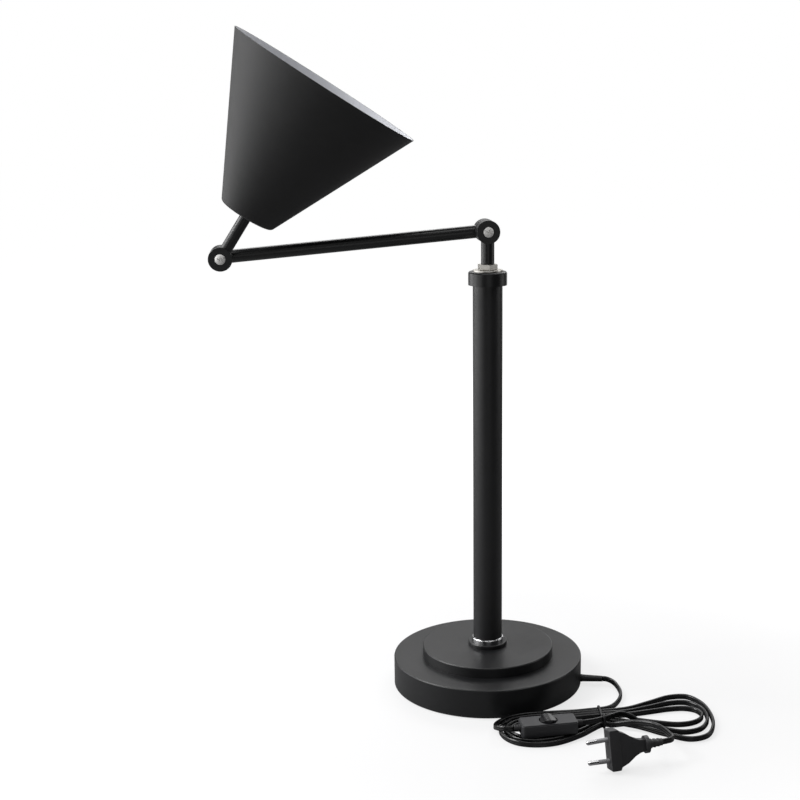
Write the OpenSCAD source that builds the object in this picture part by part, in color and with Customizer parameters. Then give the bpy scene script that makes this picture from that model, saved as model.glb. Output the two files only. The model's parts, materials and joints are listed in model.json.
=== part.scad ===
// Single-arm desk lamp: weighted stepped base, fixed column, swivel, two friction
// hinges, cone shade, and a flat two-core lead in a hank with a rocker switch.
// Frame: z up, base on z = 0, column axis at x = y = 0, the arm lies towards -X.

/* [Base] */
// Outer diameter of the round base, mm
base_d = 186; // [140:1:240]
// Height of the base's upper face, mm
base_h = 28.4; // [20:0.2:40]
// Diameter of the raised middle disc, mm
step_d = 129; // [80:1:160]
// Height of the raised middle disc, mm
step_h = 10; // [6:0.5:16]
// Radius of the cast-iron ballast, mm
weight_r = 86; // [60:1:110]
// Top of the cast-iron ballast, mm
weight_top = 17; // [10:0.5:22]

/* [Column] */
// Outer diameter of the column tube, mm
column_d = 28.2; // [18:0.2:40]
// Wall of the column tube, mm
column_wall = 1.2; // [0.8:0.1:3]
// Height of the collar's upper face, mm
collar_top = 409.6; // [300:0.2:520]
// Outer radius of the collar, mm
collar_r = 18.4; // [15:0.1:24]

/* [Hinges] */
// Height of the upper hinge axis, mm
hinge_z = 446.5; // [330:0.5:560]
// Radius of a hinge drum, mm
drum_r = 11; // [8:0.1:15]
// Depth of one half of a hinge, mm
drum_depth = 13.4; // [10:0.1:18]
// Gap between the two halves, with the washer in it, mm
drum_gap = 0.9; // [0.6:0.1:2]
// Radius of the hinge screw's shank, mm
pin_r = 2.5; // [2:0.1:4]
// Radial running fit of pins and spindle, mm
run_fit = 0.05; // [0.02:0.01:0.1]

/* [Arm] */
// Distance between the two hinge axes, mm
arm_len = 247.5; // [180:0.5:320]
// Fall of the arm below the level, degrees
arm_fall = 5; // [0:0.1:20]
// Outer diameter of the arm tube, mm
arm_d = 12.2; // [8:0.1:16]
// Outer diameter of the swivel stem, mm
stem_d = 12.6; // [10:0.1:16]
// Outer diameter of the head rod, mm
rod_d = 10.8; // [8:0.1:14]
// Wall of the arm tube and the head rod, mm
tube_wall = 1.1; // [0.8:0.1:2]

/* [Shade] */
// Lean of the shade's axis from the vertical, degrees
head_lean = 32.4; // [0:0.1:60]
// Tilt of the shade's axis to the front, degrees
head_tilt = 4.5; // [0:0.1:8]
// Distance from the lower hinge to the shade's small end, mm
shade_start = 46.9; // [30:0.5:70]
// Length of the shade along its axis, mm
shade_len = 138; // [100:0.1:180]
// Radius of the shade's small end, without its rounding, mm
shade_r1 = 25.9; // [22:0.1:40]
// Radius of the shade's mouth, mm
shade_r2 = 92.3; // [60:0.1:120]
// Thickness of the shade's sheet, mm
shade_t = 0.9; // [0.5:0.1:2]
// Radius of the bulb's globe, mm
bulb_r = 30; // [20:0.5:32]

/* [Lead] */
// Width of the flat lead, which lies on its edge, mm
cord_w = 5.4; // [5:0.1:7]
// Thickness of the flat lead, mm
cord_t = 3.2; // [2.6:0.1:4]
// Length of the inline switch, mm
switch_len = 52; // [40:1:70]
// Width of the inline switch, mm
switch_w = 21; // [16:0.5:30]
// Height of the inline switch, mm
switch_h = 11; // [10:0.5:18]
// Height of the two-pin plug's face, mm
plug_face = 34.8; // [34:0.1:36]
// Thickness of the two-pin plug, mm
plug_t = 13.7; // [12:0.1:15]

/* [Hidden] */
$fn = 96;
fn_small = 48;
body_gap = 0.3;
eps = 0.01;

// base stack
base_r = base_d / 2;
pad_t = 1.5;
pad_r = base_r - 2;
plate_t = 2;
plate_r = base_r - 3.3;
shell_t = 1.5;
shell_foot = 1;
edge_round = 1.2;
step_r = step_d / 2;
step_top = base_h + step_h;
flange_r = 19.1;
flange_top = step_top + 4;
ring_r = 15.6;
ring_h = 4.2;
column_r = column_d / 2;
column_bore = column_r - column_wall;
foot_h = 11;
nipple_r = 5;
nipple_bore = 3.6;
nipple_low = 19;
nipple_high = 56;
nut_af = 14;
nut_h = 5;
washer_r = 12;
washer_t = 1;
weight_hub = 22;
channel_w = 9;
channel_top = 10.5;
notch_from = 72;
screw_ring = 70;
screw_r = 2;
screw_head = 3.7;
screw_head_h = 1.8;
screw_end = 13;
screw_angle = 45;

// swivel stack
web_t = 5;
collar_low = collar_top - 12.8;
collar_web = collar_top - web_t;
tube_top = collar_web - 0.1;
collar_round = 2;
collar_fit = 0.05;
grub_r = 1.5;
grub_z = collar_low + 3.6;
grub_socket = 0.7;
top_washer_r = 14.1;
top_washer_t = 1.6;
swivel_nut_af = 17;
swivel_nut_low = collar_top + top_washer_t + body_gap;
swivel_nut_top = swivel_nut_low + 4.8;
swivel_nut_turn = -26.8;
spindle_r = 5;
spindle_bore = 3.5;
spindle_low = collar_web - 12.6;
spindle_top = swivel_nut_top + 14;
retain_h = 5;
retain_low = collar_web - 8.6;
wave_r = 8.6;
wave_t = 3;

// hinge layout, along +Y: front half, washer, gap, rear half
front_y0 = -drum_depth / 2;
front_y1 = drum_depth / 2;
rear_y0 = front_y1 + drum_gap;
rear_y1 = rear_y0 + drum_depth;
rear_mid = (rear_y0 + rear_y1) / 2;
chamber_r = 7.3;
chamber_depth = 9;
boss_r = 4.3;
drum_chamfer = 0.3;
recess_r = 5.6;
recess_depth = 3;
socket_from = 8;
wire_bore = 3.4;
friction_r = 10.8;
friction_t = drum_gap - body_gap;
head_r = 4.85;
head_h = 1.6;
cross_w = 0.9;
cross_len = 5.2;
cross_deep = 0.9;
hinge_nut_r = 4.9;
hinge_nut_h = 2.4;
stem_r = stem_d / 2;
arm_r = arm_d / 2;
arm_bore = arm_r - tube_wall;
rod_r = rod_d / 2;
rod_bore = rod_r - tube_wall;
h2_x = -arm_len * cos(arm_fall);
h2_z = hinge_z - arm_len * sin(arm_fall);

// head, measured along the shade's axis from the lower hinge
shade_end = shade_start + shade_len;
shade_hole = rod_r + 0.25;
shade_round = 4;
shade_slope = atan2(shade_r2 - shade_r1, shade_len);
shade_bend_r = shade_r1 + shade_round * (tan(shade_slope) - 1 / cos(shade_slope));
rod_end = shade_start + 14;
lock_h = 5;
lock_low = shade_start + shade_t;
holder_low = lock_low + lock_h;
holder_neck = 12;
holder_r = 19.5;
holder_shoulder = holder_low + 7;
holder_top = shade_start + 42;
holder_floor = holder_low + 12;
holder_bore = 15;
skirt_r = 23;
skirt_low = holder_top - 16;
skirt_h = 4;
cap_r = 13.2;
cap_low = holder_floor + 2.2;
cap_top = holder_top + 8;
contact_r = 4.5;
bulb_mid = cap_top + 48;
bulb_t = 0.9;

// internal leads
lead_r = 2.4;
lead_sides = 8;
lead_low = pad_t + plate_t + lead_r + 0.3;

// gland in the base's wall
gland_angle = -13.9;
gland_z = 5.2;
gland_flange_r = 3.7;
gland_flange_t = 1.5;
gland_neck_r = 3.3;
gland_root_r = 3.5;
gland_tip_r = 2.8;
gland_len = 20;
gland_tip = base_r + gland_flange_t + gland_len;

// where the hank lies, with its own axes u (along it) and v (towards the back)
hank_x = 91;
hank_y = -110;
hank_turn = -4;
cord_z = cord_w / 2;
tie_lift = 1;

// hank: three loops, drawn in at the waist, spiralling outwards
loops = 3;
loop_rings = 24;
hank_start = 0.07;
waist_first = 2.2;
waist_step = 4.4;
right_len = [95, 99.2, 103.4];
right_swell = [36, 64, 93];
right_front = [5, 8, 9];
left_len = [87, 91.5, 96];
left_swell = [52, 62, 72];
left_pinch = [-24, -30, -36];
left_shift = 21;
left_reach = 75;
left_bow = [4, 7.5, 11];
left_bow_end = 60;
end_run = 5.4;

// inline switch, lying on the hank's left loops
switch_u = -53.5;
switch_v = -30;
switch_turn = 7;
switch_z = 5.8;
switch_split = 5.5;
switch_wall = 1.5;
switch_round = 3;
switch_lip = 0.9;
relief_len = 6;
relief_r = 3.4;
relief_tip_r = 2.9;
rocker_r = 7.8;
rocker_arc = 11;
rocker_proud = 3;
rocker_low = 3;
window_r = 8.55;
pivot_r = 1.1;
pivot_len = 19;
rocker_z = 6;
case_screw_x = 22;
case_screw_r = 1;

// plug, on its narrow edge with the pins towards -X, tail up and top leaning back
plug_x = 74.6;
plug_y = -206.6;
plug_z = 18.6;
plug_turn = 8;
plug_pitch = 1.3;
plug_roll = -13.7;
plug_block = 8.5;
plug_neck_x = 33.4;
plug_neck_h = 4.8;
plug_neck_t = 4;
plug_collar_r = 7.6;
plug_collar_t = 3.4;
plug_relief_len = 13.2;
plug_relief_r = 4.2;
plug_relief_tip = 3.2;
plug_ribs = 3;
plug_rib_t = 1.6;
pin_pitch = 18.4;
pin_toe = 1.6;
pin_rad = 2;
pin_len = 19;
sleeve_len = 10;
sleeve_r = 1.98;
pin_root = 6;

// tie
tie_w = 4;
tie_t = 0.9;

// routes by hand: x, y, z of the lead from the gland to the tie
lead_route_a = [
  [116.8, -29.6, 4.7], [119.3, -32, 4.1], [121.3, -35.7, 3.5], [122.4, -40.6, 3],
  [122.9, -46.5, 2.7], [122.8, -52.5, 2.7], [122, -59, 2.7], [120, -66.4, 2.7],
  [116.4, -74.4, 2.7], [111.4, -82.2, 2.7],
  [105.4, -88.6, 2.9], [98.8, -92.6, 3.4]
];
// u, v, z of the same lead from the tie round the left tip to the switch
lead_route_b = [
  [0, 15.7, 3.7], [-10, 15, 3.3], [-20, 14.5, 2.8], [-30, 14, 2.7],
  [-40, 13.6, 2.7], [-50, 13.2, 2.7], [-60, 12.7, 2.7], [-70, 11.5, 2.7],
  [-79, 9.2, 2.7], [-87.5, 5.2, 2.7], [-94.6, -0.8, 2.8], [-99.4, -9, 3.8],
  [-100.8, -18, 6], [-100.2, -23, 8], [-98.6, -28.4, 9.8], [-94.9, -32.6, 10.9]
];
// u, v, z of the link from the switch over the waist to the first loop
link_route = [
  [-15.5, -24.8, 11], [-8, -21, 10.3], [0, -16, 9.7], [8, -11.2, 9.6],
  [15, -7.2, 9.6], [21, -5.6, 8.2], [27, -6.2, 5.8]
];
// u, v, z of the lead from the hank to the plug
plug_route = [
  [15, -20, 5.6], [22.5, -23.4, 8], [30, -27.2, 9.6], [37.5, -32.4, 11],
  [43.6, -39.6, 12.4], [47.4, -49, 13.6], [49.6, -59.6, 15.2], [50.6, -69.4, 17],
  [50.8, -76.6, 18.6], [48.8, -82.8, 19.5]
];

// ---- paths ----
function hank_xy(p) = [
  hank_x + p[0] * cos(hank_turn) - p[1] * sin(hank_turn),
  hank_y + p[0] * sin(hank_turn) + p[1] * cos(hank_turn),
  p[2]
];
function ease(s) = s * s * (3 - 2 * s);

// t runs from 0 to the number of loops; each loop starts in front of the waist
function loop_no(t) = min(floor(t + 1e-9), loops - 1);
function loop_deg(t) = 360 * (t - loop_no(t)) - 90;
function is_right(d) = d <= 90 + 1e-9;
function waist_off(j, d) =
  waist_first + waist_step * (j + (is_right(d) ? 0 : ease((d - 90) / 180)));
function loop_len(j, d) = is_right(d) ? right_len[j] : left_len[j];
function swell(j, d, x) =
  is_right(d) ? right_swell[j] * x
  : left_swell[j] * x + left_pinch[j] * x * x;
// how far a run is moved to the front: the whole left side, and more on the front runs
function shift_front(j, u, d, x) =
  u < 0 ? left_shift * (1 - cos(180 * min(1, -u / left_reach))) / 2
    + (d > 180 ? left_bow[j] * sin(180 * min(1, -u / left_bow_end)) : 0)
  : d < 0 ? right_front[j] * 10.9 * pow(x, 1.5) * (1 - x) * (1 - x)
  : 0;
function loop_pt(j, d) =
  let (u = loop_len(j, d) * cos(d), x = cos(d) * cos(d))
  [u, sin(d) * (waist_off(j, d) + swell(j, d, x)) - shift_front(j, u, d, x),
    cord_z + tie_lift * pow(1 - x, 20)];
function hank_pt(t) = loop_pt(loop_no(t), loop_deg(t));
function unit(v) = v / norm(v);
first_dir = unit(hank_pt(hank_start + 0.004) - hank_pt(hank_start));
last_dir = unit([1, -0.22, 0]);
hank_first = ceil(hank_start * loop_rings);
hank_uv = concat(
  [hank_pt(hank_start) - first_dir * end_run, hank_pt(hank_start)],
  [for (i = [hank_first + 1 : loops * loop_rings]) hank_pt(i / loop_rings)],
  [hank_pt(loops) + last_dir * end_run]
);
hank_path = [for (p = hank_uv) hank_xy(p)];
hank_last = len(hank_path) - 1;

// least distance between two runs of the hank, on its own points
function seg_near(p, a, b) =
  let (ab = b - a, k = max(0, min(1, ((p - a) * ab) / (ab * ab)))) norm(p - a - ab * k);
function flat_pt(p) = [p[0], p[1]];
hank_gap = min([
  for (i = [0 : len(hank_uv) - 1])
    for (k = [0 : len(hank_uv) - 2])
      if (abs(i - k) > 7)
        seg_near(flat_pt(hank_uv[i]), flat_pt(hank_uv[k]), flat_pt(hank_uv[k + 1]))
]) - cord_t;
function path_len(p) = len(p) < 2 ? 0 : sum_steps(p, 0, 0);
function sum_steps(p, i, s) =
  i > len(p) - 2 ? s : sum_steps(p, i + 1, s + norm(p[i + 1] - p[i]));

gland_dir = [cos(gland_angle), sin(gland_angle), 0];
switch_dir = [cos(switch_turn), sin(switch_turn), 0];
plug_dir = [
  cos(plug_turn) * cos(plug_pitch), sin(plug_turn) * cos(plug_pitch), sin(plug_pitch)
];
switch_mid = [switch_u, switch_v, switch_z + switch_split];
switch_tip = switch_len / 2 + relief_len;
plug_tip = plug_neck_x + plug_collar_t + plug_relief_len;
gland_end = [gland_tip * gland_dir[0], gland_tip * gland_dir[1], gland_z];
lead_path = concat(
  [gland_end, gland_end + gland_dir * 3],
  lead_route_a,
  [for (p = lead_route_b) hank_xy(p)],
  [hank_xy(switch_mid - switch_dir * (switch_tip + 3)),
    hank_xy(switch_mid - switch_dir * switch_tip)]
);
link_path = concat(
  [hank_xy(switch_mid + switch_dir * switch_tip),
    hank_xy(switch_mid + switch_dir * (switch_tip + 3))],
  [for (p = link_route) hank_xy(p)],
  [hank_path[0] - unit(hank_path[1] - hank_path[0]) * 3, hank_path[0]]
);
plug_end = [plug_x, plug_y, plug_z] + plug_dir * plug_tip;
plug_path = concat(
  [hank_path[hank_last],
    hank_path[hank_last] + unit(hank_path[hank_last] - hank_path[hank_last - 1]) * 3],
  [for (p = plug_route) hank_xy(p)],
  [plug_end + plug_dir * 3, plug_end]
);

echo("least gap in the hank, mm", hank_gap);
echo("hank length, mm", path_len(hank_path));
echo("lead, link, plug lead, mm", path_len(lead_path), path_len(link_path),
  path_len(plug_path));

// a tube along a path; wide across, tall up; the ends face along the path
function tangent(p, i) =
  i == 0 ? unit(p[1] - p[0])
  : i == len(p) - 1 ? unit(p[i] - p[i - 1])
  : unit(unit(p[i + 1] - p[i]) + unit(p[i] - p[i - 1]));
function side_of(t) = abs(t[2]) > 0.95 ? [0, 1, 0] : unit(cross(t, [0, 0, 1]));
function ring_pts(p, i, sides, rx, rz, turn) =
  let (t = tangent(p, i), s = side_of(t), n = unit(cross(s, t)))
  [for (k = [0 : sides - 1])
    p[i] + s * rx * cos(turn + 360 * k / sides) + n * rz * sin(turn + 360 * k / sides)];
module sweep_tube(p, sides, rx, rz, turn) {
  m = len(p);
  points = [for (i = [0 : m - 1]) each ring_pts(p, i, sides, rx, rz, turn)];
  walls = [for (i = [0 : m - 2]) for (k = [0 : sides - 1])
    let (a = i * sides + k, b = i * sides + (k + 1) % sides) each [
      [a, a + sides, b + sides],
      [a, b + sides, b]
    ]];
  cap_a = [[for (k = [0 : sides - 1]) k]];
  cap_b = [[for (k = [sides - 1 : -1 : 0]) (m - 1) * sides + k]];
  polyhedron(points, concat(walls, cap_a, cap_b), 10);
}
module flat_lead(p) sweep_tube(p, 8, cord_t / 2, cord_w / 2, 22.5);

// ---- shared shapes ----
module tube(r, bore, h) {
  difference() {
    cylinder(r = r, h = h);
    translate([0, 0, -eps])
      cylinder(r = bore, h = h + 2 * eps);
  }
}
module hexagon(af, h) cylinder(r = af / sqrt(3), h = h, $fn = 6);
module hex_nut(af, bore, h) {
  difference() {
    hexagon(af, h);
    translate([0, 0, -eps])
      cylinder(r = bore, h = h + 2 * eps, $fn = fn_small);
  }
}
module rounded_slab(l, w, r, h) {
  linear_extrude(height = h) {
    square([l - 2 * r, w], center = true);
    square([l, w - 2 * r], center = true);
    for (sx = [-1, 1], sy = [-1, 1])
      translate([sx * (l / 2 - r), sy * (w / 2 - r)])
        circle(r = r, $fn = fn_small);
  }
}
// turned disc with its upper edge rounded and a bore
module turned_disc(r, bore, h, round) {
  rotate_extrude()
    difference() {
      union() {
        translate([bore, 0])
          square([r - bore, h - round]);
        translate([bore, h - round - eps])
          square([r - round - bore, round + eps]);
        translate([r - round, h - round])
          circle(r = round, $fn = fn_small);
      }
      translate([-r, -r])
        square([r + bore, 3 * r]);
    }
}
// half of a hinge: closed face at z = 0, open face at z = drum_depth
module drum_half(bore, recess) {
  floor_z = drum_depth - chamber_depth;
  low = recess > 0 ? recess_depth : 0;
  low_r = recess > 0 ? recess : bore;
  rotate_extrude()
    polygon([
      [bore, low], [low_r, low], [low_r, 0], [drum_r - drum_chamfer, 0],
      [drum_r, drum_chamfer], [drum_r, drum_depth], [chamber_r, drum_depth],
      [chamber_r, floor_z], [boss_r, floor_z], [boss_r, drum_depth], [bore, drum_depth]
    ]);
}
module front_half() {
  translate([0, front_y0, 0])
    rotate([-90, 0, 0])
      drum_half(pin_r, 0);
}
module rear_half() {
  translate([0, rear_y1, 0])
    rotate([90, 0, 0])
      drum_half(pin_r + run_fit, recess_r);
}
// socket and wire way towards +Z of the child's frame
module socket_cut(r) {
  translate([0, 0, socket_from])
    cylinder(r = r, h = drum_r);
  translate([0, 0, boss_r + 1])
    cylinder(r = wire_bore, h = drum_r, $fn = fn_small);
}
module friction_ring() {
  translate([0, front_y1, 0])
    rotate([-90, 0, 0])
      tube(friction_r, chamber_r, friction_t);
}
module dome(r, h) {
  ball = (r * r + h * h) / (2 * h);
  intersection() {
    translate([0, 0, h - ball])
      sphere(r = ball);
    cylinder(r = r, h = h + 1);
  }
}
module hinge_screw() {
  difference() {
    translate([0, front_y0, 0])
      rotate([90, 0, 0])
        dome(head_r, head_h);
    for (a = [0, 90])
      translate([0, front_y0 - head_h, 0])
        rotate([0, a + 20, 0])
          cube([cross_len, 2 * cross_deep, cross_w], center = true);
  }
  translate([0, front_y0 - eps, 0])
    rotate([-90, 0, 0])
      cylinder(r = pin_r, h = rear_y1 - front_y0, $fn = fn_small);
}
module hinge_nut() {
  nut_y = rear_y1 - recess_depth + body_gap;
  translate([0, nut_y, 0])
    rotate([-90, 0, 0])
      difference() {
        union() {
          cylinder(r = hinge_nut_r, h = hinge_nut_h);
          translate([0, 0, hinge_nut_h - eps])
            dome(hinge_nut_r, 1.2);
        }
        translate([0, 0, -eps])
          cylinder(r = pin_r, h = rear_y1 - nut_y + eps, $fn = fn_small);
      }
}

module at_h1() translate([0, 0, hinge_z]) children();
module at_h2() translate([h2_x, 0, h2_z]) children();
// +Z of the child's frame points from the upper to the lower hinge, and back
module arm_down() rotate([0, -90 - arm_fall, 0]) children();
module arm_up() rotate([0, 90 - arm_fall, 0]) children();
module head_turn() rotate([head_tilt, 0, 0]) rotate([0, head_lean, 0]) children();
module head_up() at_h2() head_turn() children();

// ---- base ----
module foot_pad() {
  color([0.16, 0.16, 0.17])
    difference() {
      cylinder(r = pad_r, h = pad_t);
      for (a = [0 : 90 : 270])
        rotate([0, 0, a + screw_angle])
          translate([screw_ring, 0, -eps])
            cylinder(r = screw_head + 0.6, h = pad_t + 2 * eps, $fn = fn_small);
    }
}
module base_plate() {
  color([0.55, 0.56, 0.58])
    translate([0, 0, pad_t])
      difference() {
        cylinder(r = plate_r, h = plate_t);
        for (a = [0 : 90 : 270])
          rotate([0, 0, a + screw_angle])
            translate([screw_ring, 0, 0]) {
              translate([0, 0, -eps])
                cylinder(r = screw_r, h = plate_t + 2 * eps, $fn = fn_small);
              translate([0, 0, -eps])
                cylinder(r1 = screw_head + 0.1, r2 = screw_r + 0.1, h = screw_head_h,
                  $fn = fn_small);
            }
        rotate([0, 0, gland_angle])
          translate([notch_from, -channel_w / 2, -eps])
            cube([plate_r, channel_w, plate_t + 2 * eps]);
      }
}
module plate_screws() {
  color([0.7, 0.7, 0.72])
    for (a = [0 : 90 : 270])
      rotate([0, 0, a + screw_angle])
        translate([screw_ring, 0, pad_t])
          difference() {
            union() {
              cylinder(r1 = screw_head, r2 = screw_r, h = screw_head_h, $fn = fn_small);
              cylinder(r = screw_r, h = screw_end - pad_t, $fn = fn_small);
            }
            for (b = [0, 90])
              rotate([0, 0, b])
                cube([4, cross_w, 2 * cross_deep], center = true);
          }
}
module base_weight() {
  low = pad_t + plate_t;
  color([0.24, 0.24, 0.25])
    difference() {
      translate([0, 0, low])
        cylinder(r = weight_r, h = weight_top - low);
      translate([0, 0, low - eps])
        cylinder(r = weight_hub, h = weight_top);
      rotate([0, 0, gland_angle])
        translate([0, -channel_w / 2, low - eps])
          cube([weight_r + 1, channel_w, channel_top - low]);
      for (a = [0 : 90 : 270])
        rotate([0, 0, a + screw_angle])
          translate([screw_ring, 0, 0])
            cylinder(r = screw_r, h = screw_end, $fn = fn_small);
    }
}
module base_shell() {
  color([0.09, 0.09, 0.095])
    difference() {
      translate([0, 0, shell_foot])
        turned_disc(base_r, nipple_r, base_h - shell_foot, edge_round);
      translate([0, 0, shell_foot - eps])
        cylinder(r = base_r - shell_t, h = base_h - shell_t - shell_foot + eps);
      rotate([0, 0, gland_angle])
        translate([base_r - 2 * shell_t, 0, gland_z])
          rotate([0, 90, 0])
            cylinder(r = gland_neck_r, h = 3 * shell_t, $fn = fn_small);
    }
}
module step_disc() {
  color([0.09, 0.09, 0.095])
    translate([0, 0, base_h])
      turned_disc(step_r, nipple_r, step_h, edge_round);
}
module column_flange() {
  color([0.08, 0.08, 0.085])
    translate([0, 0, step_top])
      turned_disc(flange_r, nipple_r, flange_top - step_top, 1);
}
module column_ring() {
  color([0.85, 0.85, 0.87])
    translate([0, 0, flange_top])
      turned_disc(ring_r, column_r, ring_h, 1.4);
}
module base_nipple() {
  color([0.8, 0.68, 0.38])
    translate([0, 0, nipple_low])
      tube(nipple_r, nipple_bore, nipple_high - nipple_low);
}
module base_washer() {
  color([0.7, 0.7, 0.72])
    translate([0, 0, base_h - shell_t - washer_t])
      tube(washer_r, nipple_r, washer_t);
}
module base_nut() {
  color([0.7, 0.7, 0.72])
    translate([0, 0, base_h - shell_t - washer_t - nut_h])
      hex_nut(nut_af, nipple_r, nut_h);
}
module column_foot() {
  color([0.7, 0.7, 0.72])
    translate([0, 0, flange_top])
      tube(column_bore, nipple_r, foot_h);
}
module column_tube() {
  color([0.12, 0.12, 0.125])
    translate([0, 0, flange_top])
      tube(column_r, column_bore, tube_top - flange_top);
}
module collar() {
  color([0.08, 0.08, 0.085])
    difference() {
      translate([0, 0, collar_low])
        turned_disc(collar_r, spindle_r + run_fit, collar_top - collar_low, collar_round);
      translate([0, 0, collar_low - eps])
        cylinder(r = column_r + collar_fit, h = collar_web - collar_low);
      translate([0, column_r, grub_z])
        rotate([-90, 0, 0])
          cylinder(r = grub_r, h = collar_r, $fn = fn_small);
    }
}
module collar_set_screw() {
  color([0.3, 0.3, 0.31])
    translate([0, column_r, grub_z])
      rotate([-90, 0, 0])
        difference() {
          cylinder(r = grub_r, h = collar_r - column_r - 0.5, $fn = fn_small);
          translate([0, 0, collar_r - column_r - 2])
            cylinder(r = grub_socket, h = 2, $fn = 6);
        }
}
module top_washer() {
  color([0.78, 0.76, 0.72])
    translate([0, 0, collar_top])
      turned_disc(top_washer_r, spindle_r + run_fit, top_washer_t, 0.5);
}
module cord_gland() {
  color([0.07, 0.07, 0.075])
    rotate([0, 0, gland_angle])
      translate([base_r - shell_t, 0, gland_z])
        rotate([0, 90, 0]) {
          translate([0, 0, -gland_flange_t])
            cylinder(r = gland_flange_r, h = gland_flange_t, $fn = fn_small);
          cylinder(r = gland_neck_r, h = shell_t, $fn = fn_small);
          translate([0, 0, shell_t]) {
            cylinder(r = gland_flange_r, h = gland_flange_t, $fn = fn_small);
            translate([0, 0, gland_flange_t])
              cylinder(r1 = gland_root_r, r2 = gland_tip_r, h = gland_len, $fn = fn_small);
          }
        }
}
module column_lead() {
  start_r = base_r - shell_t - gland_flange_t;
  color([0.85, 0.85, 0.83])
    sweep_tube([
      [start_r * gland_dir[0], start_r * gland_dir[1], gland_z],
      [82 * gland_dir[0], 82 * gland_dir[1], gland_z],
      [notch_from * gland_dir[0], notch_from * gland_dir[1], lead_low],
      [24 * gland_dir[0], 24 * gland_dir[1], lead_low],
      [12 * gland_dir[0], 12 * gland_dir[1], 7.5],
      [4 * gland_dir[0], 4 * gland_dir[1], 12],
      [0.8, -0.2, 18], [0, 0, 26], [0, 0, 200], [0, 0, spindle_low - 4]
    ], lead_sides, lead_r, lead_r, 22.5);
}

// ---- swivel ----
module swivel_spindle() {
  color([0.8, 0.68, 0.38])
    translate([0, 0, spindle_low])
      tube(spindle_r, spindle_bore, spindle_top - spindle_low);
}
module retaining_nut() {
  color([0.7, 0.7, 0.72])
    translate([0, 0, retain_low])
      hex_nut(nut_af, spindle_r, retain_h);
}
module wave_washer() {
  color([0.7, 0.7, 0.72])
    translate([0, 0, retain_low + retain_h])
      tube(wave_r, spindle_r, wave_t);
}
module swivel_nut() {
  color([0.78, 0.76, 0.72])
    translate([0, 0, swivel_nut_low])
      rotate([0, 0, swivel_nut_turn])
        hex_nut(swivel_nut_af, spindle_r, swivel_nut_top - swivel_nut_low);
}
module stem_tube() {
  color([0.09, 0.09, 0.095])
    translate([0, 0, swivel_nut_top])
      difference() {
        cylinder(r = stem_r, h = hinge_z - socket_from - swivel_nut_top);
        translate([0, 0, -eps])
          cylinder(r = spindle_r, h = spindle_top - swivel_nut_top + eps);
        cylinder(r = wire_bore, h = hinge_z, $fn = fn_small);
      }
}
module stem_knuckle() {
  color([0.09, 0.09, 0.095])
    at_h1()
      difference() {
        front_half();
        rotate([180, 0, 0])
          socket_cut(stem_r);
      }
}
module upper_friction_washer() {
  color([0.2, 0.2, 0.2])
    at_h1()
      friction_ring();
}
module upper_hinge_screw() {
  color([0.8, 0.79, 0.76])
    at_h1()
      hinge_screw();
}
module upper_hinge_nut() {
  color([0.8, 0.79, 0.76])
    at_h1()
      hinge_nut();
}
module stem_lead() {
  color([0.85, 0.85, 0.83])
    translate([0, 0, spindle_low + 1])
      cylinder(r = lead_r, h = hinge_z - chamber_r + 0.5 - spindle_low, $fn = fn_small);
}

// ---- arm ----
module arm_knuckle_upper() {
  color([0.09, 0.09, 0.095])
    at_h1()
      difference() {
        rear_half();
        translate([0, rear_mid, 0])
          arm_down()
            socket_cut(arm_r);
      }
}
module arm_tube() {
  color([0.09, 0.09, 0.095])
    at_h1()
      translate([0, rear_mid, 0])
        arm_down()
          translate([0, 0, socket_from])
            tube(arm_r, arm_bore, arm_len - 2 * socket_from);
}
module arm_knuckle_lower() {
  color([0.09, 0.09, 0.095])
    at_h2()
      difference() {
        rear_half();
        translate([0, rear_mid, 0])
          arm_up()
            socket_cut(arm_r);
      }
}
module arm_lead() {
  color([0.85, 0.85, 0.83])
    at_h1()
      translate([0, rear_mid, 0])
        arm_down()
          translate([0, 0, boss_r + 1.5])
            cylinder(r = lead_r, h = arm_len - 2 * boss_r - 3, $fn = fn_small);
}

// ---- head ----
module rod_knuckle() {
  color([0.09, 0.09, 0.095])
    at_h2()
      difference() {
        front_half();
        head_turn()
          socket_cut(rod_r);
      }
}
module lower_friction_washer() {
  color([0.2, 0.2, 0.2])
    at_h2()
      friction_ring();
}
module lower_hinge_screw() {
  color([0.8, 0.79, 0.76])
    at_h2()
      hinge_screw();
}
module lower_hinge_nut() {
  color([0.8, 0.79, 0.76])
    at_h2()
      hinge_nut();
}
module head_rod() {
  color([0.09, 0.09, 0.095])
    head_up()
      translate([0, 0, socket_from])
        tube(rod_r, rod_bore, rod_end - socket_from);
}
module head_lead() {
  color([0.85, 0.85, 0.83])
    head_up()
      translate([0, 0, boss_r + 1.5])
        cylinder(r = lead_r, h = holder_floor - boss_r - 4, $fn = fn_small);
}
bend_steps = 6;
function shade_bend(r) = [
  for (i = [0 : bend_steps])
    let (a = -90 + (90 - shade_slope) * i / bend_steps)
    [shade_bend_r + r * cos(a), shade_round + r * sin(a)]
];
module shade_shell() {
  color([0.1, 0.1, 0.105])
    head_up()
      translate([0, 0, shade_start])
        rotate_extrude($fn = 120)
          polygon(concat(
            [[shade_hole, 0]],
            shade_bend(shade_round),
            [[shade_r2, shade_len], [shade_r2 - shade_t / cos(shade_slope), shade_len]],
            [for (i = [bend_steps : -1 : 0]) shade_bend(shade_round - shade_t)[i]],
            [[shade_hole, shade_t]]
          ));
}
module shade_lock_nut() {
  color([0.7, 0.7, 0.72])
    head_up()
      translate([0, 0, lock_low])
        hex_nut(nut_af, rod_r, lock_h);
}
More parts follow.
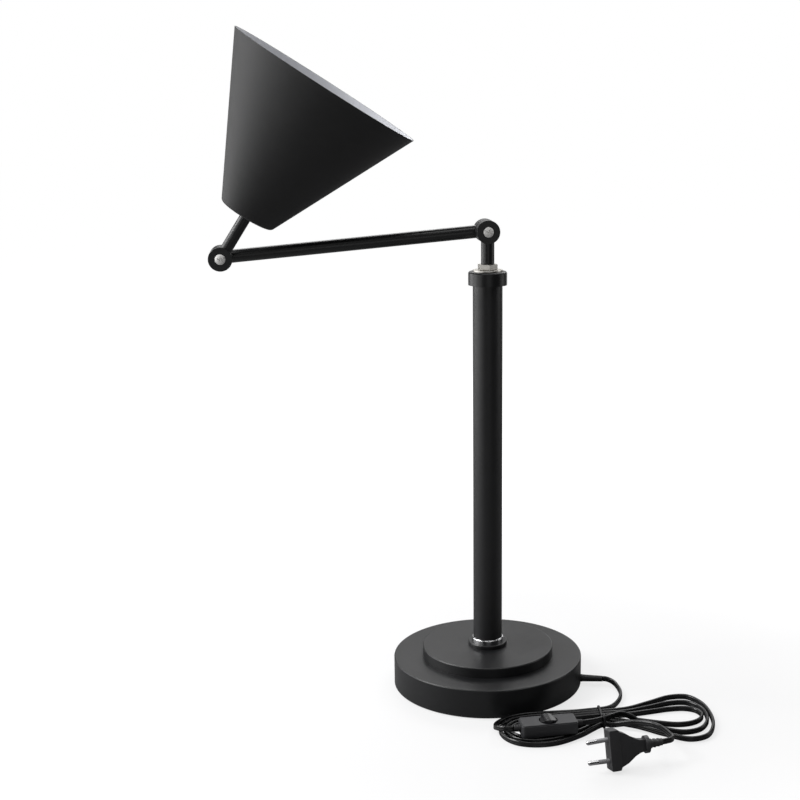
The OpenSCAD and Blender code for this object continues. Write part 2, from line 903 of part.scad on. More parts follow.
module lampholder_body() {
  color([0.9, 0.9, 0.88])
    head_up()
      difference() {
        rotate_extrude()
          polygon([
            [0, holder_low], [holder_neck, holder_low], [holder_r, holder_shoulder],
            [holder_r, holder_top], [holder_bore, holder_top], [holder_bore, holder_floor],
            [0, holder_floor]
          ]);
        translate([0, 0, holder_low - eps])
          cylinder(r = rod_r, h = rod_end - holder_low + eps, $fn = fn_small);
        translate([0, 0, rod_end - eps])
          cylinder(r = lead_r + 0.2, h = holder_floor, $fn = fn_small);
      }
}
module lampholder_ring() {
  color([0.9, 0.9, 0.88])
    head_up()
      translate([0, 0, skirt_low])
        tube(skirt_r, holder_r, skirt_h);
}
module bulb_cap() {
  color([0.75, 0.75, 0.77])
    head_up() {
      translate([0, 0, cap_low])
        cylinder(r = cap_r, h = cap_top - cap_low);
      translate([0, 0, cap_low - 2.1])
        cylinder(r = contact_r, h = 2.2, $fn = fn_small);
    }
}
module bulb_form(inset) {
  neck_top = bulb_mid - 18;
  r_top = sqrt(bulb_r * bulb_r - 18 * 18) - inset;
  translate([0, 0, bulb_mid])
    sphere(r = bulb_r - inset);
  translate([0, 0, cap_top])
    cylinder(r1 = cap_r - inset, r2 = r_top, h = neck_top - cap_top);
}
module bulb_glass() {
  color([0.96, 0.96, 0.93])
    head_up()
      difference() {
        bulb_form(0);
        intersection() {
          bulb_form(bulb_t);
          translate([0, 0, cap_top + bulb_t])
            cylinder(r = 2 * bulb_r, h = 4 * bulb_r);
        }
      }
}

// ---- lead ----
module cord_lead() {
  color([0.06, 0.06, 0.065])
    flat_lead(lead_path);
}
module cord_link() {
  color([0.06, 0.06, 0.065])
    flat_lead(link_path);
}
module cord_hank() {
  color([0.06, 0.06, 0.065])
    sweep_tube(hank_path, 6, cord_t / 2, cord_w / 2, 30);
}
module cord_plug_lead() {
  color([0.06, 0.06, 0.065])
    flat_lead(plug_path);
}
// the tie's outline across the waist: v, z
tie_side = loops * waist_step + waist_first + cord_t / 2 + 0.6;
tie_near = tie_side + 1.8;
tie_mid = tie_lift + cord_w + 0.4;
tie_high = 12.9;
tie_front = -13.4;
tie_fall = -9;
module tie_outline(t) {
  polygon([
    [-tie_near - t, tie_lift - t], [tie_side + t, tie_lift - t],
    [tie_side + t, tie_mid + t], [tie_fall + t, tie_mid + t],
    [tie_front + t, tie_high + t], [-tie_near - t, tie_high + t]
  ]);
}
module cord_tie() {
  color([0.05, 0.05, 0.055])
    translate([hank_x, hank_y, 0])
      rotate([90, 0, 90 + hank_turn])
        translate([0, 0, -tie_w / 2])
          linear_extrude(height = tie_w)
            difference() {
              tie_outline(tie_t);
              tie_outline(0);
            }
}

// ---- inline switch: child's frame has x along it and z = 0 at its underside ----
module at_switch() {
  p = hank_xy([switch_u, switch_v, switch_z]);
  translate(p)
    rotate([0, 0, hank_turn + switch_turn])
      children();
}
module relief_bore() {
  translate([-switch_len, 0, switch_split])
    rotate([0, 90, 0])
      cylinder(r = relief_r, h = 2 * switch_len, $fn = fn_small);
}
module switch_cavity() {
  translate([0, 0, switch_wall])
    rounded_slab(switch_len - 2 * switch_wall - 12, switch_w - 2 * switch_wall, 2,
      switch_h - 2 * switch_wall);
}
module pivot_rod() {
  translate([0, -pivot_len / 2, rocker_z])
    rotate([-90, 0, 0])
      cylinder(r = pivot_r, h = pivot_len, $fn = fn_small);
}
module switch_base() {
  color([0.07, 0.07, 0.075])
    at_switch()
      difference() {
        rounded_slab(switch_len, switch_w, switch_round, switch_split);
        switch_cavity();
        relief_bore();
        pivot_rod();
        for (s = [-1, 1])
          translate([s * case_screw_x, 0, -eps]) {
            cylinder(r = case_screw_r + 1.7, h = 1.4, $fn = fn_small);
            cylinder(r = case_screw_r, h = 2 + eps, $fn = fn_small);
          }
      }
}
module switch_cover() {
  color([0.07, 0.07, 0.075])
    at_switch()
      difference() {
        union() {
          translate([0, 0, switch_split])
            rounded_slab(switch_len, switch_w, switch_round,
              switch_h - switch_lip - switch_split);
          translate([0, 0, switch_h - switch_lip - eps])
            rounded_slab(switch_len - 2 * switch_lip, switch_w - 2 * switch_lip,
              switch_round - switch_lip, switch_lip + eps);
        }
        switch_cavity();
        relief_bore();
        pivot_rod();
        translate([0, 0, switch_split])
          cylinder(r = window_r, h = switch_h);
      }
}
module switch_reliefs() {
  color([0.06, 0.06, 0.065])
    at_switch()
      for (a = [0, 180])
        rotate([0, 0, a])
          translate([switch_len / 2 - 4, 0, switch_split])
            rotate([0, 90, 0]) {
              cylinder(r = relief_r, h = 4, $fn = fn_small);
              translate([0, 0, 4])
                cylinder(r1 = relief_r, r2 = relief_tip_r, h = relief_len, $fn = fn_small);
            }
}
module switch_screws() {
  color([0.7, 0.7, 0.72])
    at_switch()
      for (s = [-1, 1])
        translate([s * case_screw_x, 0, 0.2])
          difference() {
            union() {
              cylinder(r = case_screw_r + 1.7, h = 1.1, $fn = fn_small);
              cylinder(r = case_screw_r, h = 1.8, $fn = fn_small);
            }
            cube([3.6, 0.6, 1], center = true);
          }
}
module switch_pivot() {
  color([0.8, 0.68, 0.38])
    at_switch()
      pivot_rod();
}
module switch_rocker() {
  color([0.05, 0.05, 0.055])
    at_switch()
      difference() {
        intersection() {
          translate([0, 0, rocker_low])
            cylinder(r = rocker_r, h = switch_h);
          translate([0, 0, switch_h + rocker_proud - rocker_arc])
            rotate([90, 0, 0])
              cylinder(r = rocker_arc, h = 3 * rocker_r, center = true);
        }
        translate([0, 0, rocker_z])
          rotate([90, 0, 0])
            cylinder(r = pivot_r + run_fit, h = 3 * rocker_r, center = true, $fn = fn_small);
      }
}

// ---- plug: child's frame has x from the face towards the lead ----
module at_plug() {
  translate([plug_x, plug_y, plug_z])
    rotate([0, -plug_pitch, plug_turn])
      rotate([plug_roll, 0, 0])
        children();
}
// a pin's own frame: z = 0 at its root inside the body, + outwards; the tips draw together
module at_pin(s) {
  translate([0, 0, s * pin_pitch / 2])
    rotate([0, -90 - s * pin_toe, 0])
      translate([0, 0, -pin_root])
        children();
}
module plug_body() {
  h = plug_face / 2;
  w = plug_t / 2;
  color([0.07, 0.07, 0.075])
    at_plug()
      difference() {
        intersection() {
          rotate([90, 0, 0])
            linear_extrude(height = 2 * plug_t, center = true)
              polygon([
                [0, -h + 0.6], [0.6, -h], [plug_block - 0.6, -h], [plug_block, -h + 0.6],
                [plug_block + 1.2, -h + 2.4], [16, -h + 5], [23, -h + 9.8], [28, -plug_neck_h - 0.7],
                [plug_neck_x, -plug_neck_h], [plug_neck_x, plug_neck_h],
                [28, plug_neck_h + 0.7], [23, h - 9.8], [16, h - 5], [plug_block + 1.2, h - 2.4],
                [plug_block, h - 0.6], [plug_block - 0.6, h], [0.6, h], [0, h - 0.6]
              ]);
          translate([0, 0, -plug_face])
            linear_extrude(height = 2 * plug_face)
              polygon([
                [0, -w], [plug_block, -w], [plug_block + 0.8, -w + 0.8], [20, -w + 1.4],
                [plug_neck_x, -plug_neck_t], [plug_neck_x, plug_neck_t], [20, w - 1.4],
                [plug_block + 0.8, w - 0.8], [plug_block, w], [0, w]
              ]);
        }
        for (s = [-1, 1])
          at_pin(s)
            cylinder(r = sleeve_r, h = pin_root + 1, $fn = fn_small);
      }
}
module plug_relief() {
  color([0.07, 0.07, 0.075])
    at_plug()
      translate([plug_neck_x, 0, 0])
        rotate([0, 90, 0]) {
          cylinder(r = plug_collar_r, h = plug_collar_t, $fn = fn_small);
          translate([0, 0, plug_collar_t]) {
            cylinder(r1 = plug_relief_r - 0.8, r2 = plug_relief_tip - 0.1,
              h = plug_relief_len, $fn = fn_small);
            for (i = [0 : plug_ribs - 1])
              translate([0, 0, 1.4 + i * 3.6])
                cylinder(r = plug_relief_r - i * 0.3, h = plug_rib_t, $fn = fn_small);
          }
        }
}
module plug_sleeves() {
  color([0.6, 0.6, 0.61])
    at_plug()
      for (s = [-1, 1])
        at_pin(s)
          tube(sleeve_r, pin_rad - 0.4, sleeve_len + pin_root);
}
module plug_pins() {
  color([0.82, 0.82, 0.84])
    at_plug()
      for (s = [-1, 1])
        at_pin(s) {
          cylinder(r = pin_rad - 0.4, h = sleeve_len + pin_root, $fn = fn_small);
          translate([0, 0, sleeve_len + pin_root])
            cylinder(r = pin_rad, h = pin_len - sleeve_len - 1, $fn = fn_small);
          translate([0, 0, pin_len + pin_root - 1])
            cylinder(r1 = pin_rad, r2 = pin_rad - 0.7, h = 1, $fn = fn_small);
        }
}

foot_pad();
base_plate();
plate_screws();
base_weight();
base_shell();
step_disc();
column_flange();
column_ring();
base_nipple();
base_washer();
base_nut();
column_foot();
column_tube();
collar();
collar_set_screw();
top_washer();
cord_gland();
column_lead();
swivel_spindle();
retaining_nut();
wave_washer();
swivel_nut();
stem_tube();
stem_knuckle();
upper_friction_washer();
upper_hinge_screw();
upper_hinge_nut();
stem_lead();
arm_knuckle_upper();
arm_tube();
arm_knuckle_lower();
arm_lead();
rod_knuckle();
lower_friction_washer();
lower_hinge_screw();
lower_hinge_nut();
head_rod();
head_lead();
shade_shell();
shade_lock_nut();
lampholder_body();
lampholder_ring();
bulb_cap();
bulb_glass();
cord_lead();
cord_link();
cord_hank();
cord_plug_lead();
cord_tie();
switch_base();
switch_cover();
switch_reliefs();
switch_screws();
switch_pivot();
switch_rocker();
plug_body();
plug_relief();
plug_sleeves();
plug_pins();
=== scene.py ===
import json
import math

import bpy
import mathutils
import numpy as np
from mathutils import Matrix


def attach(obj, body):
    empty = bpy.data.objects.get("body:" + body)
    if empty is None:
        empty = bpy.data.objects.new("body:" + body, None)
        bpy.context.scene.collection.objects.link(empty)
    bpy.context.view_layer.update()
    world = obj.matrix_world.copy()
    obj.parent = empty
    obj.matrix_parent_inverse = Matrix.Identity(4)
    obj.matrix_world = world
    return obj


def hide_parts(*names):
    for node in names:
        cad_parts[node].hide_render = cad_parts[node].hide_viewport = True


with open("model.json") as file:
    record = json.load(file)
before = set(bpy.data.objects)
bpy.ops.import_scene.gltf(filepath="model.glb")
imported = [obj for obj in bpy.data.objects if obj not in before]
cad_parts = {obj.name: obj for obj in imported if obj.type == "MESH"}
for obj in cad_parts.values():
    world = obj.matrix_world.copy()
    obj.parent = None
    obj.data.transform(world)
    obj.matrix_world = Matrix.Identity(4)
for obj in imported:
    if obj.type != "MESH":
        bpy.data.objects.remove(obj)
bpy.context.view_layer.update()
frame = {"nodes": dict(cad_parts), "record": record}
NODES = frame["nodes"]
MM = 0.001

# ---------------------------------------------------------------- camera
scene = bpy.context.scene
cam_data = bpy.data.cameras.new("view_camera")
cam = bpy.data.objects.new("view_camera", cam_data)
scene.collection.objects.link(cam)
scene.camera = cam
CAM_DISTANCE = 1.27928
CAM_HEIGHT = 0.55517
CAM_YAW = math.radians(8.33)
CAM_PITCH = math.radians(11.89)
cam.location = (
    -CAM_DISTANCE * math.sin(CAM_YAW),
    -CAM_DISTANCE * math.cos(CAM_YAW),
    CAM_HEIGHT,
)
cam.rotation_euler = (math.pi / 2 - CAM_PITCH, 0, -CAM_YAW)
cam_data.sensor_width = 36
cam_data.lens = 61.33
cam_data.shift_x = -0.10959
cam_data.clip_start = 0.02

# ---------------------------------------------------------------- small helpers


def mesh_object(name, verts, faces, smooth=True):
    mesh = bpy.data.meshes.new(name)
    mesh.from_pydata([tuple(v) for v in verts], [], faces)
    mesh.validate()
    mesh.update()
    if smooth:
        for p in mesh.polygons:
            p.use_smooth = True
    obj = bpy.data.objects.new(name, mesh)
    scene.collection.objects.link(obj)
    return obj


def smooth_path(points, step):
    """A centripetal Catmull-Rom line through the points, with a point about every step."""
    p = [np.array(q, float) for q in points]
    p = [2 * p[0] - p[1]] + p + [2 * p[-1] - p[-2]]
    out = []
    for i in range(1, len(p) - 2):
        t = [0.0]
        for k in range(3):
            t.append(t[-1] + max(np.linalg.norm(p[i + k] - p[i + k - 1]), 1e-9) ** 0.5)
        n = max(1, int(math.ceil(np.linalg.norm(p[i + 1] - p[i]) / step)))
        for s in range(n):
            u = t[1] + (t[2] - t[1]) * s / n
            a = [
                (t[k + 1] - u) / (t[k + 1] - t[k]) * p[i + k - 1]
                + (u - t[k]) / (t[k + 1] - t[k]) * p[i + k]
                for k in range(3)
            ]
            b = [
                (t[k + 2] - u) / (t[k + 2] - t[k]) * a[k]
                + (u - t[k]) / (t[k + 2] - t[k]) * a[k + 1]
                for k in range(2)
            ]
            out.append((t[2] - u) / (t[2] - t[1]) * b[0] + (u - t[1]) / (t[2] - t[1]) * b[1])
    out.append(p[-2])
    return out


def twin_section(width, thickness, steps):
    """The outline of a flat two-core lead on its edge, with a groove between its cores: across, up."""
    r = thickness / 2
    lift = width / 2 - r
    groove = math.asin(lift / r) - 0.12
    waist = r * math.cos(groove) - 0.04
    pts = []
    for side in (1, -1):
        for k in range(steps + 1):
            a = -groove + (math.pi + 2 * groove) * k / steps
            pts.append((side * r * math.cos(a), side * (lift + r * math.sin(a))))
        pts.append((-side * waist, 0))
    return pts


def sweep(name, path, section):
    """A tube of that section along the path; its second axis stays as upright as it can."""
    n = len(path)
    k = len(section)
    verts = []
    for i, p in enumerate(path):
        d = path[min(i + 1, n - 1)] - path[max(i - 1, 0)]
        d = d / np.linalg.norm(d)
        side = np.cross(d, (0, 0, 1))
        side = side / np.linalg.norm(side)
        up = np.cross(side, d)
        for x, y in section:
            verts.append(p + side * x + up * y)
    faces = []
    for i in range(n - 1):
        for j in range(k):
            a = i * k + j
            b = i * k + (j + 1) % k
            faces.append((a, b, b + k, a + k))
    faces.append(tuple(range(k))[::-1])
    faces.append(tuple((n - 1) * k + j for j in range(k)))
    return mesh_object(name, verts, faces)


def revolve(name, profile, turns, place):
    """A profile of (radius, height) turned about +Z of the matrix place."""
    verts = []
    faces = []
    m = len(profile)
    for i in range(turns):
        a = 2 * math.pi * i / turns
        for r, z in profile:
            verts.append(place @ mathutils.Vector((r * math.cos(a), r * math.sin(a), z)))
    for i in range(turns):
        for j in range(m - 1):
            a = i * m + j
            b = ((i + 1) % turns) * m + j
            faces.append((a, b, b + 1, a + 1))
    return mesh_object(name, verts, faces)


# ---------------------------------------------------------------- materials


def new_material(name):
    m = bpy.data.materials.new(name)
    m.use_nodes = True
    tree = m.node_tree
    shader = next(n for n in tree.nodes if n.type == "BSDF_PRINCIPLED")
    return m, tree, shader


def surface(
    name,
    color,
    rough,
    metal=0.0,
    spec=0.5,
    grain=0.0004,
    bump=0.08,
    vary=0.12,
    patch=0.03,
    rough_vary=0.08,
    stretch=None,
    coat=0.0,
    edge=0.0003,
):
    """A painted, moulded or metal surface: fine relief, slow change of tone, eased edges."""
    m, tree, shader = new_material(name)
    new = tree.nodes.new
    link = tree.links.new
    coord = new("ShaderNodeTexCoord")
    where = coord.outputs["Object"]
    if stretch:
        mapping = new("ShaderNodeMapping")
        mapping.inputs["Scale"].default_value = stretch
        link(where, mapping.inputs["Vector"])
        where = mapping.outputs["Vector"]
    fine = new("ShaderNodeTexNoise")
    fine.inputs["Scale"].default_value = 1 / grain
    fine.inputs["Detail"].default_value = 3
    link(where, fine.inputs["Vector"])
    slow = new("ShaderNodeTexNoise")
    slow.inputs["Scale"].default_value = 1 / patch
    slow.inputs["Detail"].default_value = 5
    slow.inputs["Roughness"].default_value = 0.6
    link(coord.outputs["Object"], slow.inputs["Vector"])
    tone = new("ShaderNodeValToRGB")
    low = [c * (1 - vary) for c in color]
    high = [min(1, c * (1 + vary)) for c in color]
    tone.color_ramp.elements[0].position = 0.3
    tone.color_ramp.elements[0].color = (*low, 1)
    tone.color_ramp.elements[1].position = 0.7
    tone.color_ramp.elements[1].color = (*high, 1)
    link(slow.outputs["Fac"], tone.inputs["Fac"])
    link(tone.outputs["Color"], shader.inputs["Base Color"])
    gloss = new("ShaderNodeMapRange")
    gloss.inputs["From Min"].default_value = 0.25
    gloss.inputs["From Max"].default_value = 0.75
    gloss.inputs["To Min"].default_value = max(0.02, rough - rough_vary)
    gloss.inputs["To Max"].default_value = min(1, rough + rough_vary)
    mix = new("ShaderNodeMath")
    mix.operation = "MULTIPLY_ADD"
    mix.inputs[1].default_value = 0.5
    half = new("ShaderNodeMath")
    half.operation = "MULTIPLY"
    half.inputs[1].default_value = 0.5
    link(fine.outputs["Fac"], half.inputs[0])
    link(slow.outputs["Fac"], mix.inputs[0])
    link(half.outputs[0], mix.inputs[2])
    link(mix.outputs[0], gloss.inputs["Value"])
    link(gloss.outputs["Result"], shader.inputs["Roughness"])
    relief = new("ShaderNodeBump")
    relief.inputs["Strength"].default_value = bump
    relief.inputs["Distance"].default_value = 0.0002
    link(fine.outputs["Fac"], relief.inputs["Height"])
    eased = new("ShaderNodeBevel")
    eased.samples = 4
    eased.inputs["Radius"].default_value = edge
    link(eased.outputs["Normal"], relief.inputs["Normal"])
    link(relief.outputs["Normal"], shader.inputs["Normal"])
    shader.inputs["Metallic"].default_value = metal
    shader.inputs["Specular IOR Level"].default_value = spec
    shader.inputs["Coat Weight"].default_value = coat
    shader.inputs["Coat Roughness"].default_value = 0.3
    return m


PAINT = surface("satin_black_paint", (0.0075, 0.0078, 0.0085), 0.36, spec=0.55, grain=0.0006, bump=0.08)
TUBE = surface("gloss_black_tube", (0.0065, 0.0067, 0.0072), 0.28, spec=0.55, grain=0.0006, bump=0.05)
COLUMN = surface("satin_black_column", (0.009, 0.009, 0.01), 0.45, spec=0.55, grain=0.0006, bump=0.1)
SHADE_OUT = surface("matt_black_shade", (0.026, 0.026, 0.0265), 0.6, spec=0.22, grain=0.0007, bump=0.16)
SHADE_IN = surface(
    "white_shade_inside", (0.64, 0.65, 0.69), 0.6, spec=0.3, grain=0.0007, bump=0.08, vary=0.02,
)
RIM = surface("dark_rim", (0.02, 0.02, 0.022), 0.5, grain=0.0005)
CHROME = surface(
    "polished_chrome", (0.62, 0.62, 0.63), 0.14, metal=1, vary=0.04, rough_vary=0.05,
    grain=0.0005, bump=0.02, stretch=(0.05, 0.05, 1),
)
NICKEL = surface(
    "satin_nickel", (0.66, 0.64, 0.6), 0.34, metal=1, vary=0.04, rough_vary=0.04,
    grain=0.0004, bump=0.02,
)
# hinge screws: nickel heads given a near-white, barely metallic colour, a painted reflection that stands
# in for their bright shine
SCREW_PAINTED_SHINE = surface(
    "screw_painted_shine_white", (0.93, 0.92, 0.9), 0.36, metal=0.05, vary=0.03, rough_vary=0.04,
    grain=0.0004, bump=0.03,
)
PIN_METAL = surface(
    "nickelled_pin", (0.62, 0.62, 0.63), 0.22, metal=1, vary=0.08, grain=0.0004, bump=0.06,
    stretch=(1, 0.1, 0.1),
)
STEEL = surface("zinc_steel", (0.55, 0.56, 0.58), 0.38, metal=1, vary=0.12, bump=0.08)
DARK_STEEL = surface("dark_steel", (0.08, 0.08, 0.085), 0.4, metal=1, bump=0.06)
BRASS = surface("brass", (0.66, 0.47, 0.2), 0.34, metal=1, vary=0.1, bump=0.06)
IRON = surface("cast_iron", (0.05, 0.05, 0.052), 0.72, metal=0.3, vary=0.3, grain=0.001, bump=0.5)
CORD = surface(
    "black_cord_sheath", (0.004, 0.004, 0.0045), 0.24, spec=0.5, vary=0.2, grain=0.0012,
    bump=0.03, rough_vary=0.06, patch=0.012, edge=0.0001,
)
RUBBER = surface("black_rubber", (0.009, 0.009, 0.01), 0.5, grain=0.0005, bump=0.12)
PLASTIC = surface(
    "moulded_plastic", (0.03, 0.0305, 0.033), 0.36, spec=0.5, grain=0.00035, bump=0.1, vary=0.15,
    edge=0.0006,
)
PLUG = surface("plug_plastic", (0.038, 0.038, 0.04), 0.4, grain=0.00035, bump=0.1, vary=0.15, edge=0.0008)
ROCKER = surface("rocker_plastic", (0.006, 0.006, 0.007), 0.2, grain=0.0006, bump=0.02, coat=0.3)
SLEEVE = surface("pin_sleeve", (0.3, 0.3, 0.31), 0.45, grain=0.0004, bump=0.06)
WASHER = surface("washer_plastic", (0.01, 0.01, 0.01), 0.5)
PAD = surface("foam_pad", (0.02, 0.02, 0.021), 0.85, grain=0.0008, bump=0.5, vary=0.3)
WHITE_LEAD = surface("white_inner_sheath", (0.7, 0.7, 0.68), 0.45, bump=0.04, vary=0.04)
HOLDER = surface("lampholder_plastic", (0.72, 0.71, 0.68), 0.42, bump=0.05, vary=0.04)
BULB_CAP = surface("bulb_cap", (0.7, 0.7, 0.71), 0.28, metal=1, vary=0.08, bump=0.05)
OPAL = surface(
    "opal_glass", (0.86, 0.86, 0.83), 0.16, spec=0.5, vary=0.01, bump=0.01, rough_vary=0.03,
    coat=0.5,
)

BY_SLOT = {
    "pad_rubber": PAD,
    "zinc_steel": STEEL,
    "cast_weight": IRON,
    "black_paint": PAINT,
    "shade_paint": SHADE_OUT,
    "bright_chrome": CHROME,
    "brass_tube": BRASS,
    "black_column": COLUMN,
    "dark_steel": DARK_STEEL,
    "nickel_trim": NICKEL,
    "black_rubber": RUBBER,
    "lead_white": WHITE_LEAD,
    "cord_black": CORD,
    "tie_plastic": RUBBER,
    "switch_plastic": PLASTIC,
    "rocker_plastic": ROCKER,
    "plug_plastic": PLUG,
    "sleeve_plastic": SLEEVE,
    "nickel_pins": PIN_METAL,
    "washer_plastic": WASHER,
    "holder_plastic": HOLDER,
    "bulb_metal": BULB_CAP,
    "bulb_glass_white": OPAL,
}
for part in frame["record"]["subparts"]:
    obj = NODES[part["node"]]
    obj.data.materials.clear()
    obj.data.materials.append(BY_SLOT[part["material_slot"]])
# the two hinge screws take the near-white colour that paints their shine; the arm tube takes its glossier
# paint
for name, look in (("upper_hinge_screw", SCREW_PAINTED_SHINE), ("lower_hinge_screw", SCREW_PAINTED_SHINE), ("arm_tube", TUBE)):
    NODES[name].data.materials[0] = look

# ---------------------------------------------------------------- the lead's route, mm
CORD_W = 5.4
CORD_T = 3.2
HANK_X, HANK_Y, HANK_TURN = 91, -110, math.radians(-4)
LOOPS = 3
RINGS = 24
HANK_START = 0.07
WAIST_FIRST, WAIST_STEP = 2.2, 4.4
RIGHT = [(95, 36, 0), (99.2, 64, 0), (103.4, 93, 0)]
RIGHT_FRONT, RIGHT_FRONT_GAIN = [5, 8, 9], 10.9
LEFT = [(87, 52, -24), (91.5, 62, -30), (96, 72, -36)]
LEFT_SHIFT, LEFT_REACH = 21, 75
LEFT_BOW, LEFT_BOW_END = [4, 7.5, 11], 60
TIE_LIFT = 1
END_RUN = 5.4


def to_row(p):
    u, v, z = p
    c, s = math.cos(HANK_TURN), math.sin(HANK_TURN)
    return np.array([HANK_X + u * c - v * s, HANK_Y + u * s + v * c, z])


def ease(s):
    return s * s * (3 - 2 * s)


def hank_point(t):
    j = min(int(math.floor(t + 1e-9)), LOOPS - 1)
    deg = 360 * (t - j) - 90
    right = deg <= 90 + 1e-9
    off = WAIST_FIRST + WAIST_STEP * (j + (0 if right else ease((deg - 90) / 180)))
    reach, swell, pinch = RIGHT[j] if right else LEFT[j]
    c, s = math.cos(math.radians(deg)), math.sin(math.radians(deg))
    x = c * c
    u = reach * c
    v = s * (off + swell * x + pinch * x * x)
    if u < 0:
        v -= LEFT_SHIFT * (1 - math.cos(math.pi * min(1, -u / LEFT_REACH))) / 2
        if deg > 180:
            v -= LEFT_BOW[j] * math.sin(math.pi * min(1, -u / LEFT_BOW_END))
    elif deg < 0:
        v -= RIGHT_FRONT[j] * RIGHT_FRONT_GAIN * x**1.5 * (1 - x) ** 2
    return np.array([u, v, CORD_W / 2 + TIE_LIFT * max(0.0, 1 - x) ** 20])


GLAND_DIR = np.array([math.cos(math.radians(-13.9)), math.sin(math.radians(-13.9)), 0])
SWITCH_DIR = np.array([math.cos(math.radians(7)), math.sin(math.radians(7)), 0])
PLUG_YAW, PLUG_PITCH = math.radians(8), math.radians(1.3)
PLUG_DIR = np.array([
    math.cos(PLUG_YAW) * math.cos(PLUG_PITCH),
    math.sin(PLUG_YAW) * math.cos(PLUG_PITCH),
    math.sin(PLUG_PITCH),
])
SWITCH_MID = np.array([-53.5, -30, 11.3])
SWITCH_TIP = 32
gland_end = GLAND_DIR * 114.5 + np.array([0, 0, 5.2])
lead_points = [gland_end, gland_end + GLAND_DIR * 3]
lead_points += [
    np.array(p)
    for p in [
        [116.8, -29.6, 4.7], [119.3, -32, 4.1], [121.3, -35.7, 3.5], [122.4, -40.6, 3],
        [122.9, -46.5, 2.7], [122.8, -52.5, 2.7], [122, -59, 2.7], [120, -66.4, 2.7],
        [116.4, -74.4, 2.7], [111.4, -82.2, 2.7], [105.4, -88.6, 2.9], [98.8, -92.6, 3.4],
    ]
]
lead_points += [
    to_row(p)
    for p in [
        [0, 15.7, 3.7], [-10, 15, 3.3], [-20, 14.5, 2.8], [-30, 14, 2.7],
        [-40, 13.6, 2.7], [-50, 13.2, 2.7], [-60, 12.7, 2.7], [-70, 11.5, 2.7],
        [-79, 9.2, 2.7], [-87.5, 5.2, 2.7], [-94.6, -0.8, 2.8], [-99.4, -9, 3.8],
        [-100.8, -18, 6], [-100.2, -23, 8], [-98.6, -28.4, 9.8], [-94.9, -32.6, 10.9],
    ]
]
lead_points += [
    to_row(SWITCH_MID - SWITCH_DIR * (SWITCH_TIP + 3)),
    to_row(SWITCH_MID - SWITCH_DIR * SWITCH_TIP),
]
first = hank_point(HANK_START)
first_dir = hank_point(HANK_START + 0.004) - first
first_dir = first_dir / np.linalg.norm(first_dir)
hank_uv = [first - first_dir * END_RUN, first]
hank_uv += [hank_point(i / RINGS) for i in range(3, RINGS * LOOPS + 1)]
last_dir = np.array([1, -0.22, 0]) / math.hypot(1, 0.22)
hank_uv.append(hank_point(LOOPS) + last_dir * END_RUN)
plug_end = np.array([74.6, -206.6, 18.6]) + PLUG_DIR * 50
tail_points = [
    to_row(SWITCH_MID + SWITCH_DIR * SWITCH_TIP),
    to_row(SWITCH_MID + SWITCH_DIR * (SWITCH_TIP + 3)),
]
tail_points += [
    to_row(p)
    for p in [
        [-15.5, -24.8, 11], [-8, -21, 10.3], [0, -16, 9.7], [8, -11.2, 9.6],
        [15, -7.2, 9.6], [21, -5.6, 8.2], [27, -6.2, 5.8],
    ]
]
tail_points.append(to_row(hank_uv[0] - first_dir * 3))
tail_points += [to_row(p) for p in hank_uv]
tail_points.append(to_row(hank_uv[-1] + last_dir * 3))
tail_points += [
    to_row(p)
    for p in [
        [15, -20, 5.6], [22.5, -23.4, 8], [30, -27.2, 9.6], [37.5, -32.4, 11],
        [43.6, -39.6, 12.4], [47.4, -49, 13.6], [49.6, -59.6, 15.2], [50.6, -69.4, 17],
        [50.8, -76.6, 18.6], [48.8, -82.8, 19.5],
    ]
]
tail_points += [plug_end + PLUG_DIR * 3, plug_end]


def drop_close(points, least):
    out = [points[0]]
    for p in points[1:]:
        if np.linalg.norm(p - out[-1]) > least:
            out.append(p)
    return out


lead_path = [p * MM for p in smooth_path(drop_close(lead_points, 0.5), 2.5)]
tail_path = [p * MM for p in smooth_path(drop_close(tail_points, 0.5), 2.5)]
section = [(x * MM, y * MM) for x, y in twin_section(CORD_W, CORD_T, 9)]

lead_piece = sweep("lead_base_to_switch", lead_path, section)
lead_piece.data.materials.append(CORD)
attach(lead_piece, "stand")
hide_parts("cord_lead")
tail_piece = sweep("lead_switch_to_plug", tail_path, section)
tail_piece.data.materials.append(CORD)
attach(tail_piece, "stand")
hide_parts("cord_link", "cord_hank", "cord_plug_lead")

# the tie: a thin plastic-covered wire wrapped once round the waist, ends twisted in front
TIE_FORM = [
    (-18.3, 1.3), (-17.2, 0.75), (-14, 0.65), (0, 0.65), (14, 0.65), (17.4, 0.8), (18.1, 1.7),
    (18, 6.2), (17, 7.1), (0, 7.2), (-7, 7.3), (-9.4, 8.6), (-12.6, 12.2), (-14, 13.1),
    (-17.6, 13.1), (-18.9, 12.2), (-19.2, 6),
]
TIE_HALF_WIDTH, TIE_HALF_DEPTH = 1.1, 0.6
TIE_SIDES = 10


